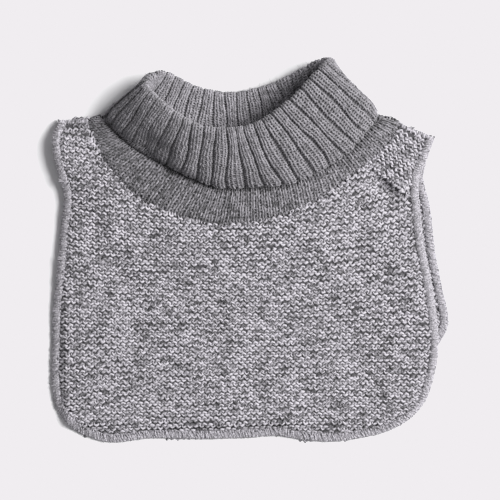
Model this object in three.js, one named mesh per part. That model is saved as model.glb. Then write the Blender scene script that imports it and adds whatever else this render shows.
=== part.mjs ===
// Knitted neck warmer: a turned-down rib collar on a yoke band, with a bib in front and one behind.
// It lies flat, front up. Millimetres, +Y towards the collar, +Z up from the surface it lies on, and
// +X to the right as it is seen from above, which is what left and right mean in this file. The
// origin is under the middle of the whole thing.

import * as THREE from 'three';

// Cloth
const RIB_KNIT = 2.8;
const BAND_KNIT = 2.6;
const BIB_KNIT = 3;
const EDGE_WIDTH = 6.8;
const EDGE_THICKNESS = 3.2;
const SEAM_GAP = 0.6;
const NECK_GAP = 1.5;
const YOKE_GAP = 1.1;

// Collar
const RIB_COUNT = 40;
const RIB_RELIEF = 0.75;
const SIDE_TURNS = [10.9, 28.4];
const SIDE_TURN_REACH = 1.8;
const TURN_RADIUS = 2.8;
// How far the cuff stands out from straight, and how the collar leans where it stops doing so
const CUFF_BULGE = 4;
const CUFF_BULGE_LEAN = 0.6;
const SIDE_HOLLOW = 4.25;
const TUBE_HOLLOW = 2.3;
const SIDE_LEAN = 0.6;
const BAND_BOW = 2.5;
const BOW_PEAK = 256 / 27;
const BOW_LEAN = 0.5;

// Heights of the middle of the cloth above the surface
const BACK_LEVEL = 1.5;
const BACK_EDGE_LEVEL = 1.7;
const FRONT_LEVEL = 5.8;
const FRONT_SHOULDER_LEVEL = 5.2;
const YOKE_SLOPE_LENGTH = 38;
const SHOULDER_ROLL = 9;

// The front bib's edge droops, but not near its right shoulder, from this share of the way round
const EDGE_DROOP = 2.7;
const DROOP_WIDTH = 8;
const DROOP_END = 0.7;
const DROOP_FADE = 0.06;

// From the frame of the tables below to the frame of the whole thing
const ORIGIN_SHIFT = { x: 0.15, y: -0.9 };

// The turned top edge of the collar. Ribs count from the middle of the front, right side first.
const TURN_RING = [
  { rib: 0, x: -7.5, y: 90, z: 37 },
  { rib: 2, x: 6.5, y: 94, z: 37 },
  { rib: 4, x: 20, y: 103, z: 36.8 },
  { rib: 6, x: 33.5, y: 114, z: 35.6 },
  { rib: 8, x: 48, y: 130, z: 33.4 },
  { rib: 9, x: 54, y: 136.6, z: 31.4 },
  { rib: 10, x: 57, y: 139.6, z: 27 },
  { rib: 11, x: 58.8, y: 141.8, z: 19.5 },
  { rib: 12, x: 55.5, y: 142.3, z: 13 },
  { rib: 13, x: 48, y: 140, z: 9.8 },
  { rib: 15, x: 25, y: 127.5, z: 7.6 },
  { rib: 17, x: 8, y: 121, z: 7 },
  { rib: 20, x: -15, y: 117, z: 7 },
  { rib: 23, x: -38.5, y: 121, z: 8.2 },
  { rib: 25, x: -52.5, y: 127.5, z: 10.5 },
  { rib: 26.5, x: -64, y: 132.5, z: 14.8 },
  { rib: 27.5, x: -70.5, y: 131.2, z: 18.6 },
  { rib: 28.3, x: -74.8, y: 127.8, z: 22.8 },
  { rib: 29, x: -76.2, y: 123.8, z: 27.4 },
  { rib: 30, x: -76.5, y: 120.5, z: 32 },
  { rib: 32, x: -66, y: 109.5, z: 37 },
  { rib: 34, x: -53, y: 99.8, z: 37.5 },
  { rib: 36, x: -38, y: 91.7, z: 37 },
  { rib: 38, x: -22.5, y: 89.3, z: 37.5 },
];

// The free lower edge of the turned-down cuff
const CUFF_RING = [
  { rib: 0, x: 4.5, y: 46.5, z: 22 },
  { rib: 2, x: 30.5, y: 49, z: 22 },
  { rib: 4, x: 53.5, y: 60, z: 21.5 },
  { rib: 6, x: 74.5, y: 75, z: 20.5 },
  { rib: 8, x: 90, y: 92.5, z: 18.4 },
  { rib: 9, x: 95.6, y: 100, z: 15.8 },
  { rib: 10, x: 96.6, y: 104.2, z: 11 },
  { rib: 11, x: 92.3, y: 103.2, z: 5.5 },
  { rib: 12, x: 83.3, y: 97.5, z: 2.8 },
  { rib: 14, x: 62, y: 84, z: 2.35 },
  { rib: 17, x: 25, y: 73.5, z: 2.35 },
  { rib: 20, x: -13.5, y: 72, z: 2.35 },
  { rib: 23, x: -52.5, y: 78, z: 2.35 },
  { rib: 25, x: -79, y: 88.5, z: 2.35 },
  { rib: 26.5, x: -98, y: 99.5, z: 3 },
  { rib: 28, x: -109, y: 104, z: 8.5 },
  { rib: 29, x: -107.5, y: 98, z: 14.5 },
  { rib: 30, x: -100, y: 88.5, z: 16.2 },
  { rib: 32, x: -85, y: 77, z: 17.9 },
  { rib: 34, x: -67.5, y: 67.5, z: 19.9 },
  { rib: 36, x: -46.5, y: 56.5, z: 21.4 },
  { rib: 38, x: -22.5, y: 47, z: 22 },
];

// The seam between the collar tube and the yoke band
const NECK_RING = [
  { rib: 0, x: 1.5, y: 53, z: 19.5 },
  { rib: 3, x: 35, y: 61.5, z: 19.2 },
  { rib: 6, x: 64, y: 82.5, z: 18.2 },
  { rib: 8, x: 77.5, y: 97, z: 16.8 },
  { rib: 9, x: 81, y: 102, z: 15 },
  { rib: 9.6, x: 83, y: 104.6, z: 13.4 },
  { rib: 10, x: 83.2, y: 105.2, z: 11.9 },
  { rib: 10.4, x: 82.3, y: 105.2, z: 10.3 },
  { rib: 11, x: 79, y: 103.8, z: 8.8 },
  { rib: 12, x: 73.5, y: 101, z: 8.5 },
  { rib: 15, x: 45, y: 86, z: 8.2 },
  { rib: 19, x: -2, y: 75, z: 8.2 },
  { rib: 23, x: -48, y: 80, z: 8.2 },
  { rib: 26, x: -80, y: 95.5, z: 8.5 },
  { rib: 27, x: -89, y: 101.2, z: 8.8 },
  { rib: 27.6, x: -93.8, y: 103, z: 10.2 },
  { rib: 28, x: -95.6, y: 102.8, z: 12.2 },
  { rib: 28.4, x: -95.8, y: 101, z: 14 },
  { rib: 29, x: -93.6, y: 97, z: 15.2 },
  { rib: 30, x: -88, y: 91, z: 15.2 },
  { rib: 33, x: -67.5, y: 74, z: 16.6 },
  { rib: 36, x: -34.5, y: 58.5, z: 19.5 },
];

// The seam between the yoke band and the two bibs
const YOKE_RING = [
  { rib: 0, x: 2, y: 21, z: 11 },
  { rib: 3, x: 41, y: 33, z: 10.5 },
  { rib: 6, x: 82.5, y: 60, z: 8.5 },
  { rib: 8, x: 102.5, y: 78, z: 6.8 },
  { rib: 8.8, x: 110, y: 88, z: 6.6 },
  { rib: 9.2, x: 112.8, y: 91.8, z: 6.2 },
  { rib: 9.5, x: 113.9, y: 93.4, z: 4.2 },
  { rib: 9.8, x: 112.6, y: 92.2, z: 2.2 },
  { rib: 10.2, x: 109, y: 89, z: 1.8 },
  { rib: 11, x: 100.5, y: 80, z: 1.6 },
  { rib: 14, x: 66, y: 64.5, z: 1.6 },
  { rib: 19, x: -3, y: 54, z: 1.6 },
  { rib: 23, x: -52.5, y: 58.5, z: 1.6 },
  { rib: 26, x: -96, y: 75, z: 1.6 },
  { rib: 27.7, x: -115, y: 91.5, z: 1.8 },
  { rib: 28.2, x: -120, y: 95.4, z: 2.2 },
  { rib: 28.5, x: -122, y: 97, z: 4.2 },
  { rib: 28.8, x: -121.8, y: 95, z: 6.2 },
  { rib: 29.3, x: -121, y: 90, z: 6.6 },
  { rib: 30.2, x: -118, y: 80, z: 7.2 },
  { rib: 32, x: -104, y: 58.5, z: 8.8 },
  { rib: 34, x: -81, y: 37.5, z: 10 },
  { rib: 37, x: -40, y: 21.5, z: 11 },
];
const RIGHT_SHOULDER_RIB = 9.5;
const LEFT_SHOULDER_RIB = 28.5;

// Outer edge of the front bib, from the left shoulder round the bottom to the right shoulder
const FRONT_OUTLINE = [
  { x: -144, y: 96 },
  { x: -148.5, y: 83 },
  { x: -145.5, y: 61.5 },
  { x: -140, y: 41 },
  { x: -142, y: 18.5 },
  { x: -145, y: -13.5 },
  { x: -148, y: -43.5 },
  { x: -149, y: -75 },
  { x: -149, y: -100.5 },
  { x: -145, y: -119.5 },
  { x: -134, y: -133.5 },
  { x: -118.5, y: -141.5 },
  { x: -102, y: -144.5 },
  { x: -75, y: -141.5 },
  { x: -34, y: -142 },
  { x: 0, y: -141 },
  { x: 19.5, y: -139.5 },
  { x: 39, y: -142.5 },
  { x: 61.5, y: -144 },
  { x: 84, y: -141 },
  { x: 104, y: -136 },
  { x: 120, y: -127 },
  { x: 131, y: -115 },
  { x: 137, y: -100 },
  { x: 141.5, y: -74.5 },
  { x: 140, y: -49.5 },
  { x: 136, y: -23.5 },
  { x: 130.5, y: 5 },
  { x: 128, y: 28.5 },
  { x: 126.5, y: 45 },
  { x: 128, y: 56 },
  { x: 133, y: 68 },
  { x: 138.5, y: 83 },
];

// Outer edge of the back bib, from the right shoulder round the bottom to the left shoulder
const BACK_OUTLINE = [
  { x: 138.5, y: 83 },
  { x: 133, y: 67 },
  { x: 130.5, y: 54 },
  { x: 134, y: 39 },
  { x: 137, y: 21 },
  { x: 139, y: 0 },
  { x: 142, y: -16 },
  { x: 145.5, y: -33 },
  { x: 149, y: -49 },
  { x: 148.5, y: -58.5 },
  { x: 145, y: -66 },
  { x: 139, y: -76 },
  { x: 133.5, y: -91.5 },
  { x: 126, y: -107.5 },
  { x: 113, y: -120 },
  { x: 94.5, y: -128.5 },
  { x: 60, y: -134 },
  { x: 19.5, y: -131 },
  { x: -34, y: -133 },
  { x: -75, y: -132.5 },
  { x: -103.5, y: -134.5 },
  { x: -123, y: -128 },
  { x: -136, y: -114 },
  { x: -140, y: -94.5 },
  { x: -139.5, y: -52.5 },
  { x: -136, y: -7.5 },
  { x: -133, y: 37.5 },
  { x: -138, y: 67.5 },
  { x: -144, y: 96 },
];

// Near its right shoulder the front bib buckles into a groove with a ridge beside it
const BUCKLE = { x: 105, y: 50, alongX: 0.79, alongY: -0.61, length: 13 };
const BUCKLE_GROOVE = { depth: 2.2, width: 5 };
const BUCKLE_RIDGE = { height: 3.2, away: 11, width: 8.8 };

// Near its left shoulder it stands clear of the back one
const LEFT_LIFT = { x: -137, y: 74, height: 3, radius: 24 };

// Gentle waves over the whole front bib, in turns per millimetre, which fade at its edge
const RIPPLES = [
  { waveX: 0.021, waveY: 0.012, phase: 0.6, height: 0.5 },
  { waveX: -0.013, waveY: 0.031, phase: 2.1, height: 0.4 },
];
const RIPPLE_FADE = 25;

// The section of the overlocked edge, in shares of its half width and its half thickness
const EDGE_SECTION = [
  { across: 1, up: 0.75 },
  { across: 0, up: 1 },
  { across: -1, up: 0.75 },
  { across: -1, up: -0.75 },
  { across: 0, up: -1 },
  { across: 1, up: -0.75 },
];

// Mesh density
const COLLAR_TUBE_ROWS = 4;
const COLLAR_TURN_ROWS = 3;
const COLLAR_CUFF_ROWS = 4;
const BAND_STEP = 0.75;
const BAND_FINE_STEP = 0.25;
const BAND_FINE_REACH = 1.2;
const BAND_ROWS = 3;
const FRONT_COLUMNS = 66;
const FRONT_ROWS = 7;
const BACK_COLUMNS = 56;
const BACK_ROWS = 5;
const ROW_CROWDING = 1.15;
const YOKE_SAMPLES = 60;

const smooth = (t) => {
  const c = Math.min(1, Math.max(0, t));
  return c * c * (3 - 2 * c);
};

const bump = (distance, width) => Math.exp(-((distance / width) ** 2));

// A closed curve through a ring's rows, as a function of the rib number
function ringCurve(rows) {
  const n = rows.length;
  const at = (i) => {
    const row = rows[((i % n) + n) % n];
    return { t: row.rib + RIB_COUNT * Math.floor(i / n), p: new THREE.Vector3(row.x, row.y, row.z) };
  };
  const slope = (i) => {
    const before = at(i - 1);
    const after = at(i + 1);
    return after.p.clone().sub(before.p).divideScalar(after.t - before.t);
  };
  return (rib) => {
    const r = ((rib % RIB_COUNT) + RIB_COUNT) % RIB_COUNT;
    let i = 0;
    while (i + 1 < n && rows[i + 1].rib <= r) i += 1;
    const a = at(i);
    const b = at(i + 1);
    const span = b.t - a.t;
    const u = (r - a.t) / span;
    const u2 = u * u;
    const u3 = u2 * u;
    return a.p.clone().multiplyScalar(2 * u3 - 3 * u2 + 1)
      .addScaledVector(slope(i), span * (u3 - 2 * u2 + u))
      .addScaledVector(b.p, 3 * u2 - 2 * u3)
      .addScaledVector(slope(i + 1), span * (u3 - u2));
  };
}

const turnAt = ringCurve(TURN_RING);
const cuffAt = ringCurve(CUFF_RING);
const neckAt = ringCurve(NECK_RING);
const yokeAt = ringCurve(YOKE_RING);

// The way a ring runs, from its points just before and after a rib
function alongRing(curve, rib) {
  const step = 0.5;
  return curve(rib + step).sub(curve(rib - step)).normalize();
}

// A closed wall of even thickness round a grid of middle points and their outward directions
function wall(grid, thickness, closed) {
  const columns = grid.length;
  const rows = grid[0].length;
  const positions = [];
  const index = [];
  const side = columns * rows;
  for (const half of [thickness / 2, -thickness / 2]) {
    for (const column of grid) {
      for (const { p, n } of column) positions.push(p.x + n.x * half, p.y + n.y * half, p.z + n.z * half);
    }
  }
  const quad = (a, b, c, d) => index.push(a, b, c, a, c, d);
  const spans = closed ? columns : columns - 1;
  for (let i = 0; i < spans; i += 1) {
    const here = i * rows;
    const next = ((i + 1) % columns) * rows;
    for (let j = 0; j + 1 < rows; j += 1) {
      quad(here + j, next + j, next + j + 1, here + j + 1);
      quad(side + here + j, side + here + j + 1, side + next + j + 1, side + next + j);
    }
    quad(here, side + here, side + next, next);
    quad(here + rows - 1, next + rows - 1, side + next + rows - 1, side + here + rows - 1);
  }
  if (!closed) {
    const last = (columns - 1) * rows;
    for (let j = 0; j + 1 < rows; j += 1) {
      quad(j, j + 1, side + j + 1, side + j);
      quad(last + j, side + last + j, side + last + j + 1, last + j + 1);
    }
  }
  return facingOut(positions, index);
}

// Turns every triangle over where the mesh would otherwise be inside out
function facingOut(positions, index) {
  const v = (k) => new THREE.Vector3(positions[3 * k], positions[3 * k + 1], positions[3 * k + 2]);
  let volume = 0;
  for (let t = 0; t < index.length; t += 3) {
    volume += v(index[t]).dot(v(index[t + 1]).cross(v(index[t + 2])));
  }
  if (volume < 0) {
    for (let t = 0; t < index.length; t += 3) [index[t], index[t + 1]] = [index[t + 1], index[t]];
  }
  const geometry = new THREE.BufferGeometry();
  geometry.setAttribute('position', new THREE.Float32BufferAttribute(positions, 3));
  geometry.setIndex(index);
  geometry.computeVertexNormals();
  return geometry;
}

// The collar's section at a rib: up the tube from the neck seam, over the turn and down the cuff
function collarSection(rib) {
  const neck = neckAt(rib);
  const turn = turnAt(rib);
  const cuff = cuffAt(rib);
  const up = turn.clone().sub(neck).normalize();
  const out = alongRing((r) => turnAt(r).add(neckAt(r)), rib).cross(up).normalize();
  neck.addScaledVector(up, NECK_GAP);
  const centre = turn.clone().addScaledVector(up, -TURN_RADIUS);
  const inner = centre.clone().addScaledVector(out, -TURN_RADIUS);
  const outer = centre.clone().addScaledVector(out, TURN_RADIUS);
  const middle = outer.clone().add(cuff).multiplyScalar(0.5);
  const onTop = smooth((out.z + CUFF_BULGE_LEAN) / (2 * CUFF_BULGE_LEAN));
  const sideways = bump(out.z, SIDE_LEAN);
  middle.addScaledVector(out, CUFF_BULGE * onTop - 2 * SIDE_HOLLOW * sideways);
  const points = [];
  for (let k = 0; k < COLLAR_TUBE_ROWS; k += 1) {
    const t = k / COLLAR_TUBE_ROWS;
    const hollow = 4 * TUBE_HOLLOW * sideways * t * (1 - t);
    points.push(neck.clone().lerp(inner, t).addScaledVector(out, -hollow));
  }
  for (let k = 0; k <= COLLAR_TURN_ROWS; k += 1) {
    const angle = Math.PI * (k / COLLAR_TURN_ROWS - 0.5);
    points.push(centre.clone()
      .addScaledVector(up, TURN_RADIUS * Math.cos(angle))
      .addScaledVector(out, TURN_RADIUS * Math.sin(angle)));
  }
  for (let k = 1; k <= COLLAR_CUFF_ROWS; k += 1) {
    const t = k / COLLAR_CUFF_ROWS;
    points.push(outer.clone().multiplyScalar((1 - t) ** 2)
      .addScaledVector(middle, 2 * t * (1 - t))
      .addScaledVector(cuff, t * t));
  }
  return points;
}

// Outward directions over a grid of points, from the crossing of its two ways
function withNormals(points, closed) {
  const columns = points.length;
  const rows = points[0].length;
  return points.map((column, i) => column.map((p, j) => {
    const before = closed ? (i + columns - 1) % columns : Math.max(0, i - 1);
    const after = closed ? (i + 1) % columns : Math.min(columns - 1, i + 1);
    const across = points[after][j].clone().sub(points[before][j]);
    const along = column[Math.min(rows - 1, j + 1)].clone().sub(column[Math.max(0, j - 1)]);
    return { p, n: across.cross(along).normalize() };
  }));
}

// Ribs stand out on the side of the cloth that shows, inside the tube and outside the cuff. They
// lie flatter where the collar turns at its two sides.
function ribCollar() {
  const points = [];
  for (let k = 0; k < 2 * RIB_COUNT; k += 1) points.push(collarSection(k / 2));
  const grid = withNormals(points, true);
  grid.forEach((column, k) => {
    const eased = SIDE_TURNS.reduce((sum, rib) => sum + bump(k / 2 - rib, SIDE_TURN_REACH), 0);
    const relief = (k % 2 === 0 ? -RIB_RELIEF : RIB_RELIEF) * (1 - eased);
    for (const { p, n } of column) p.addScaledVector(n, relief);
  });
  return wall(grid, RIB_KNIT, true);
}

// Ribs at which the yoke band has a column, closer together where it folds over at the shoulders
function bandColumns() {
  const ribs = [];
  let rib = 0;
  while (rib < RIB_COUNT - BAND_FINE_STEP) {
    ribs.push(rib);
    const toFold = Math.min(Math.abs(rib - RIGHT_SHOULDER_RIB), Math.abs(rib - LEFT_SHOULDER_RIB));
    rib += toFold < BAND_FINE_REACH ? BAND_FINE_STEP : BAND_STEP;
  }
  return ribs;
}

// The yoke band's section at a rib, from the yoke seam up to the neck seam. It bows out nearer the
// yoke where it faces sideways.
function bandSection(rib) {
  const yoke = yokeAt(rib);
  const neck = neckAt(rib);
  const across = alongRing((r) => yokeAt(r).add(neckAt(r)), rib);
  const out = across.cross(neck.clone().sub(yoke)).normalize();
  const bow = BAND_BOW * bump(out.z, BOW_LEAN);
  const points = [];
  for (let j = 0; j <= BAND_ROWS; j += 1) {
    const t = j / BAND_ROWS;
    points.push(yoke.clone().lerp(neck, t).addScaledVector(out, bow * BOW_PEAK * t * (1 - t) ** 3));
  }
  return points;
}

function neckBand() {
  return wall(withNormals(bandColumns().map(bandSection), true), BAND_KNIT, true);
}

function smoothCurve(points) {
  return new THREE.CatmullRomCurve3(points, false, 'centripetal');
}

// A bib's outer edge, level with the surface
function outlineCurve(rows) {
  return smoothCurve(rows.map((row) => new THREE.Vector3(row.x, row.y, 0)));
}

// The stretch of the yoke seam between two ribs
function yokeCurve(fromRib, toRib) {
  const points = [];
  for (let k = 0; k <= YOKE_SAMPLES; k += 1) {
    points.push(yokeAt(fromRib + ((toRib - fromRib) * k) / YOKE_SAMPLES));
  }
  return smoothCurve(points);
}

const frontHem = outlineCurve(FRONT_OUTLINE);
const backHem = outlineCurve(BACK_OUTLINE);
const frontYoke = yokeCurve(LEFT_SHOULDER_RIB, RIB_COUNT + RIGHT_SHOULDER_RIB);
const backYoke = yokeCurve(RIGHT_SHOULDER_RIB, LEFT_SHOULDER_RIB);

// The way out of the bib at a point of its outline, level with the surface
function outwardAt(hem, share) {
  const tangent = hem.getTangentAt(share);
  const turn = hem === backHem ? 1 : -1;
  return new THREE.Vector3(-tangent.y * turn, tangent.x * turn, 0).normalize();
}

// Middle height of the front bib. Share runs from the left shoulder (0) to the right one (1).
function frontHeight(x, y, share, fromYoke, fromEdge) {
  const yokeHeight = frontYoke.getPointAt(share).z;
  let z = FRONT_LEVEL + (yokeHeight - FRONT_LEVEL) * bump(fromYoke, YOKE_SLOPE_LENGTH);
  for (const { waveX, waveY, phase, height } of RIPPLES) {
    const wave = 1 + Math.sin(2 * Math.PI * (waveX * x + waveY * y) + phase);
    z += height * wave * smooth(fromEdge / RIPPLE_FADE);
  }
  z += LEFT_LIFT.height * bump(Math.hypot(x - LEFT_LIFT.x, y - LEFT_LIFT.y), LEFT_LIFT.radius);
  const dx = x - BUCKLE.x;
  const dy = y - BUCKLE.y;
  const along = dx * BUCKLE.alongX + dy * BUCKLE.alongY;
  const beside = -dx * BUCKLE.alongY + dy * BUCKLE.alongX;
  const within = bump(along, BUCKLE.length);
  z += BUCKLE_RIDGE.height * within * bump(beside - BUCKLE_RIDGE.away, BUCKLE_RIDGE.width);
  z -= BUCKLE_GROOVE.depth * within * bump(beside, BUCKLE_GROOVE.width);
  const drooping = 1 - smooth((share - DROOP_END) / DROOP_FADE);
  z -= EDGE_DROOP * drooping * (1 - smooth(fromEdge / DROOP_WIDTH));
  return z;
}

// Brings the front bib down to one height at both shoulders
function shoulderRoll(z, share, length) {
  const fromShoulder = Math.min(share, 1 - share) * length;
  const held = smooth(fromShoulder / SHOULDER_ROLL);
  return FRONT_SHOULDER_LEVEL + (Math.max(z, FRONT_SHOULDER_LEVEL) - FRONT_SHOULDER_LEVEL) * held
    + Math.min(0, z - FRONT_SHOULDER_LEVEL) * held;
}

// A bib's middle points, in straight columns from the yoke seam out to the edging
function bibGrid(hem, yoke, columns, rows, heightAt) {
  const inset = EDGE_WIDTH + SEAM_GAP;
  const points = [];
  for (let i = 0; i <= columns; i += 1) {
    const share = i / columns;
    const end = hem.getPointAt(share).addScaledVector(outwardAt(hem, share), -inset);
    const start = yoke.getPointAt(share).setZ(0);
    const reach = end.distanceTo(start);
    start.lerp(end, YOKE_GAP / reach);
    const column = [];
    for (let j = 0; j <= rows; j += 1) {
      const t = (j / rows) ** ROW_CROWDING;
      const p = start.clone().lerp(end, t);
      p.z = heightAt(p.x, p.y, share, t * reach, (1 - t) * reach + inset);
      column.push(p);
    }
    points.push(column);
  }
  return withNormals(points, false);
}

function frontBib() {
  const length = frontHem.getLength();
  const height = (x, y, share, fromYoke, fromEdge) =>
    shoulderRoll(frontHeight(x, y, share, fromYoke, fromEdge), share, length);
  return wall(bibGrid(frontHem, frontYoke, FRONT_COLUMNS, FRONT_ROWS, height), BIB_KNIT, false);
}

function backBib() {
  const grid = bibGrid(backHem, backYoke, BACK_COLUMNS, BACK_ROWS, () => BACK_LEVEL);
  return wall(grid, BIB_KNIT, false);
}

// A flat cord of overlock stitches swept round a bib's outline, closed at both ends
function edging(hem, stations, heightAt) {
  const halfWidth = EDGE_WIDTH / 2;
  const sides = EDGE_SECTION.length;
  const positions = [];
  const index = [];
  for (let i = 0; i <= stations; i += 1) {
    const share = i / stations;
    const outward = outwardAt(hem, share);
    const onHem = hem.getPointAt(share);
    for (const { across, up } of EDGE_SECTION) {
      const p = onHem.clone().addScaledVector(outward, (across - 1) * halfWidth);
      const middle = heightAt(p.x, p.y, share, (1 - across) * halfWidth);
      positions.push(p.x, p.y, middle + (up * EDGE_THICKNESS) / 2);
    }
  }
  const quad = (a, b, c, d) => index.push(a, b, c, a, c, d);
  for (let i = 0; i < stations; i += 1) {
    for (let k = 0; k < sides; k += 1) {
      const a = i * sides + k;
      const b = i * sides + ((k + 1) % sides);
      quad(a, b, b + sides, a + sides);
    }
  }
  const last = stations * sides;
  for (let k = 1; k + 1 < sides; k += 1) {
    index.push(0, k + 1, k);
    index.push(last, last + k, last + k + 1);
  }
  return facingOut(positions, index);
}

function frontEdging() {
  const length = frontHem.getLength();
  const fromYoke = Infinity;
  return edging(frontHem, FRONT_COLUMNS, (x, y, share, fromEdge) =>
    shoulderRoll(frontHeight(x, y, share, fromYoke, fromEdge), share, length));
}

function backEdging() {
  return edging(backHem, BACK_COLUMNS, () => BACK_EDGE_LEVEL);
}

function cloth(color, roughness) {
  return new THREE.MeshStandardMaterial({ color, roughness, metalness: 0 });
}

const greyWool = cloth(0x77777b, 0.95);
const darkWool = cloth(0x66666a, 0.95);
const marlWool = cloth(0x9a9a9c, 0.95);
const edgeWool = cloth(0xa6a6a8, 0.95);

const group = new THREE.Group();
group.position.set(ORIGIN_SHIFT.x, ORIGIN_SHIFT.y, 0);

function add(name, geometry, material) {
  const mesh = new THREE.Mesh(geometry, material);
  mesh.name = name;
  group.add(mesh);
}

add('rib_collar', ribCollar(), greyWool);
add('neck_band', neckBand(), darkWool);
add('front_bib', frontBib(), marlWool);
add('back_bib', backBib(), marlWool);
add('front_edging', frontEdging(), edgeWool);
add('back_edging', backEdging(), edgeWool);

export default group;
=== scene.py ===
# Knitted neck warmer, dressed stitch by stitch. Each cloth is a thin backing sheet with yarn knitted
# through it; the sheets are dark, painted shade in the gaps between stitches. Tables are in millimetres,
# in the frame of the solids' tables.

import math

import bpy
import numpy as np
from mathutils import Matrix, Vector
from mathutils.bvhtree import BVHTree


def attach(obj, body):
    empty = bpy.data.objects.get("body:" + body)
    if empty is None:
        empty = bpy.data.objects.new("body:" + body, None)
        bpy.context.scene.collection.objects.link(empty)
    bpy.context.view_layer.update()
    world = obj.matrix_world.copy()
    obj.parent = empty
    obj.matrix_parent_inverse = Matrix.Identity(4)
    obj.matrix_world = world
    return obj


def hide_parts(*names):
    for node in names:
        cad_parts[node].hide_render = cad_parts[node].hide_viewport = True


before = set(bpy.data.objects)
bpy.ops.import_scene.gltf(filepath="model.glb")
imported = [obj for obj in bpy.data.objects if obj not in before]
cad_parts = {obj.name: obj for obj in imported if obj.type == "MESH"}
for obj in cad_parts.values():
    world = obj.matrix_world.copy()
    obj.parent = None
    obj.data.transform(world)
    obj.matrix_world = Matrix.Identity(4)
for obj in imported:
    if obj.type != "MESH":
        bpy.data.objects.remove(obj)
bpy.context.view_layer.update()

MM = 0.001
RIBS = 40
ORIGIN_SHIFT = np.array([0.15, -0.9, 0.0])
UP = np.array([0.0, 0.0, 1.0])

# Rings round the garment: rib number, then x, y and z of the middle of the cloth
TURN_RING = [
    (0, -7.5, 90, 37), (2, 6.5, 94, 37), (4, 20, 103, 36.8), (6, 33.5, 114, 35.6),
    (8, 48, 130, 33.4), (9, 54, 136.6, 31.4), (10, 57, 139.6, 27), (11, 58.8, 141.8, 19.5),
    (12, 55.5, 142.3, 13), (13, 48, 140, 9.8), (15, 25, 127.5, 7.6), (17, 8, 121, 7),
    (20, -15, 117, 7), (23, -38.5, 121, 8.2), (25, -52.5, 127.5, 10.5), (26.5, -64, 132.5, 14.8),
    (27.5, -70.5, 131.2, 18.6), (28.3, -74.8, 127.8, 22.8), (29, -76.2, 123.8, 27.4), (30, -76.5, 120.5, 32),
    (32, -66, 109.5, 37), (34, -53, 99.8, 37.5), (36, -38, 91.7, 37), (38, -22.5, 89.3, 37.5),
]
CUFF_RING = [
    (0, 4.5, 46.5, 22), (2, 30.5, 49, 22), (4, 53.5, 60, 21.5), (6, 74.5, 75, 20.5),
    (8, 90, 92.5, 18.4), (9, 95.6, 100, 15.8), (10, 96.6, 104.2, 11), (11, 92.3, 103.2, 5.5),
    (12, 83.3, 97.5, 2.8), (14, 62, 84, 2.35), (17, 25, 73.5, 2.35), (20, -13.5, 72, 2.35),
    (23, -52.5, 78, 2.35), (25, -79, 88.5, 2.35), (26.5, -98, 99.5, 3), (28, -109, 104, 8.5),
    (29, -107.5, 98, 14.5), (30, -100, 88.5, 16.2), (32, -85, 77, 17.9), (34, -67.5, 67.5, 19.9),
    (36, -46.5, 56.5, 21.4), (38, -22.5, 47, 22),
]
NECK_RING = [
    (0, 1.5, 53, 19.5), (3, 35, 61.5, 19.2), (6, 64, 82.5, 18.2), (8, 77.5, 97, 16.8),
    (9, 81, 102, 15), (9.6, 83, 104.6, 13.4), (10, 83.2, 105.2, 11.9), (10.4, 82.3, 105.2, 10.3),
    (11, 79, 103.8, 8.8), (12, 73.5, 101, 8.5), (15, 45, 86, 8.2), (19, -2, 75, 8.2),
    (23, -48, 80, 8.2), (26, -80, 95.5, 8.5), (27, -89, 101.2, 8.8), (27.6, -93.8, 103, 10.2),
    (28, -95.6, 102.8, 12.2), (28.4, -95.8, 101, 14), (29, -93.6, 97, 15.2), (30, -88, 91, 15.2),
    (33, -67.5, 74, 16.6), (36, -34.5, 58.5, 19.5),
]
YOKE_RING = [
    (0, 2, 21, 11), (3, 41, 33, 10.5), (6, 82.5, 60, 8.5), (8, 102.5, 78, 6.8),
    (8.8, 110, 88, 6.6), (9.2, 112.8, 91.8, 6.2), (9.5, 113.9, 93.4, 4.2), (9.8, 112.6, 92.2, 2.2),
    (10.2, 109, 89, 1.8), (11, 100.5, 80, 1.6), (14, 66, 64.5, 1.6), (19, -3, 54, 1.6),
    (23, -52.5, 58.5, 1.6), (26, -96, 75, 1.6), (27.7, -115, 91.5, 1.8), (28.2, -120, 95.4, 2.2),
    (28.5, -122, 97, 4.2), (28.8, -121.8, 95, 6.2), (29.3, -121, 90, 6.6), (30.2, -118, 80, 7.2),
    (32, -104, 58.5, 8.8), (34, -81, 37.5, 10), (37, -40, 21.5, 11),
]
RIGHT_SHOULDER_RIB = 9.5
LEFT_SHOULDER_RIB = 28.5

# Outer edges of the two bibs, x and y, anticlockwise and clockwise seen from above
FRONT_OUTLINE = [
    (-144, 96), (-148.5, 83), (-145.5, 61.5), (-140, 41), (-142, 18.5), (-145, -13.5),
    (-148, -43.5), (-149, -75), (-149, -100.5), (-145, -119.5), (-134, -133.5), (-118.5, -141.5),
    (-102, -144.5), (-75, -141.5), (-34, -142), (0, -141), (19.5, -139.5), (39, -142.5),
    (61.5, -144), (84, -141), (104, -136), (120, -127), (131, -115), (137, -100),
    (141.5, -74.5), (140, -49.5), (136, -23.5), (130.5, 5), (128, 28.5), (126.5, 45),
    (128, 56), (133, 68), (138.5, 83),
]
BACK_OUTLINE = [
    (138.5, 83), (133, 67), (130.5, 54), (134, 39), (137, 21), (139, 0), (142, -16),
    (145.5, -33), (149, -49), (148.5, -58.5), (145, -66), (139, -76), (133.5, -91.5),
    (126, -107.5), (113, -120), (94.5, -128.5), (60, -134), (19.5, -131), (-34, -133),
    (-75, -132.5), (-103.5, -134.5), (-123, -128), (-136, -114), (-140, -94.5),
    (-139.5, -52.5), (-136, -7.5), (-133, 37.5), (-138, 67.5), (-144, 96),
]

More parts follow.
